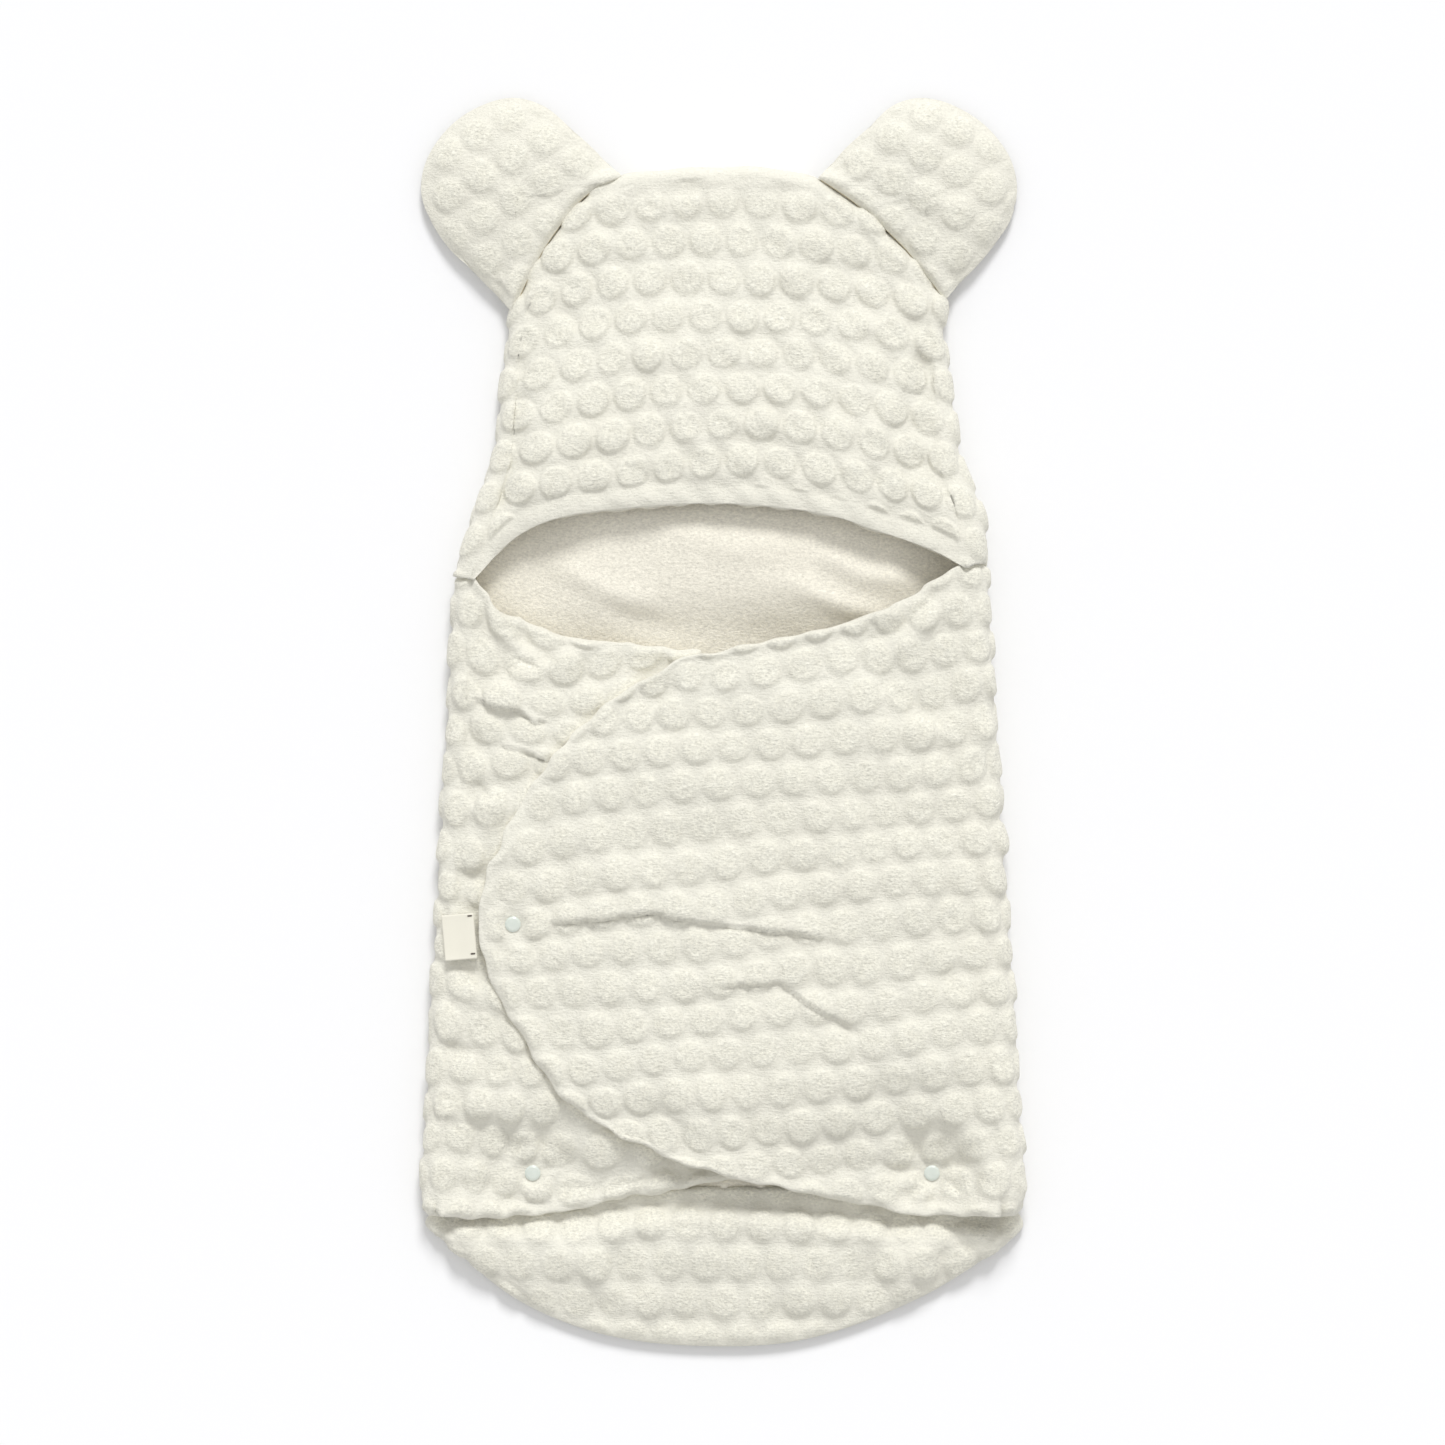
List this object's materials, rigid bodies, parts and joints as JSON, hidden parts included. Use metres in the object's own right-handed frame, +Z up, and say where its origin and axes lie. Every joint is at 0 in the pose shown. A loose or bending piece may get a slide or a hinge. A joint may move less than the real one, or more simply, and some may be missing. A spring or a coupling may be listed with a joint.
{
  "type": "hooded baby wrap",
  "caption": "Padded baby wrap with an eared hood, two wings that cross over the front and snap shut, and a rounded tail.",
  "frame": {"origin": "under the middle of the closed wrap, on the surface it lies on", "axes": "+Z up out of the front, +Y towards the hood and ears, +X towards the side fold of the outer wing"},
  "size_m": [0.4106, 0.8514, 0.038],
  "materials": {
    "dimpled_plush": "matte",
    "plush_lining": "matte",
    "wadding": "matte",
    "snap_plastic": "gloss",
    "label_tape": "satin",
    "label_thread": "matte"
  },
  "bodies": {
    "back": {"back_shell": "dimpled_plush", "back_wadding": "wadding", "back_lining": "plush_lining", "hood_shell": "dimpled_plush", "hood_wadding": "wadding", "hood_lining": "plush_lining", "hood_hem": "dimpled_plush", "left_foot_snap_stud": "snap_plastic", "left_foot_snap_back_cap": "snap_plastic", "right_foot_snap_stud": "snap_plastic", "right_foot_snap_back_cap": "snap_plastic"},
    "outer_wing": {"outer_wing_shell": "dimpled_plush", "outer_wing_wadding": "wadding", "outer_wing_lining": "plush_lining", "tip_snap_cap": "snap_plastic", "tip_snap_socket": "snap_plastic", "right_foot_snap_cap": "snap_plastic", "right_foot_snap_socket": "snap_plastic"},
    "inner_wing": {"inner_wing_shell": "dimpled_plush", "inner_wing_wadding": "wadding", "inner_wing_lining": "plush_lining", "tip_snap_stud": "snap_plastic", "tip_snap_back_cap": "snap_plastic", "left_foot_snap_cap": "snap_plastic", "left_foot_snap_socket": "snap_plastic"},
    "tail": {"tail_shell": "dimpled_plush", "tail_wadding": "wadding", "tail_lining": "dimpled_plush"},
    "left_ear": {"left_ear_front": "dimpled_plush", "left_ear_back": "dimpled_plush", "left_ear_wadding": "wadding"},
    "right_ear": {"right_ear_front": "dimpled_plush", "right_ear_back": "dimpled_plush", "right_ear_wadding": "wadding"},
    "label": {"label": "label_tape", "label_stitch_upper": "label_thread", "label_stitch_lower": "label_thread"}
  },
  "joints": [
    {"name": "outer_wing_fold", "type": "hinge", "parent": "back", "child": "outer_wing", "pos_m": [0.16103, 0.10697, 0.0182], "axis": [-0.0618, 0.9981, 0], "range_deg": [0, 179]},
    {"name": "inner_wing_fold", "type": "hinge", "parent": "back", "child": "inner_wing", "pos_m": [-0.16892, 0.09938, 0.0129], "axis": [-0.055, -0.9985, 0], "range_deg": [0, 171]},
    {"name": "tail_fold", "type": "hinge", "parent": "back", "child": "tail", "pos_m": [0.0007, -0.34201, 0.024], "axis": [-1, 0, 0], "range_deg": [0, 160]},
    {"name": "left_ear_seam", "type": "hinge", "parent": "back", "child": "left_ear", "pos_m": [-0.112, 0.33059, 0.016], "axis": [0.6277, 0.7785, 0], "range_deg": [0, 110]},
    {"name": "right_ear_seam", "type": "hinge", "parent": "back", "child": "right_ear", "pos_m": [0.1136, 0.33409, 0.016], "axis": [0.6902, -0.7236, 0], "range_deg": [0, 110]},
    {"name": "label_seam", "type": "hinge", "parent": "outer_wing", "child": "label", "pos_m": [-0.1676, -0.14391, 0.0289], "axis": [-0.0872, 0.9962, 0], "range_deg": [0, 85]}
  ],
  "couplings": [
    {"joint": "inner_wing_fold", "follows": "outer_wing_fold", "ratio": 0.95}
  ]
}
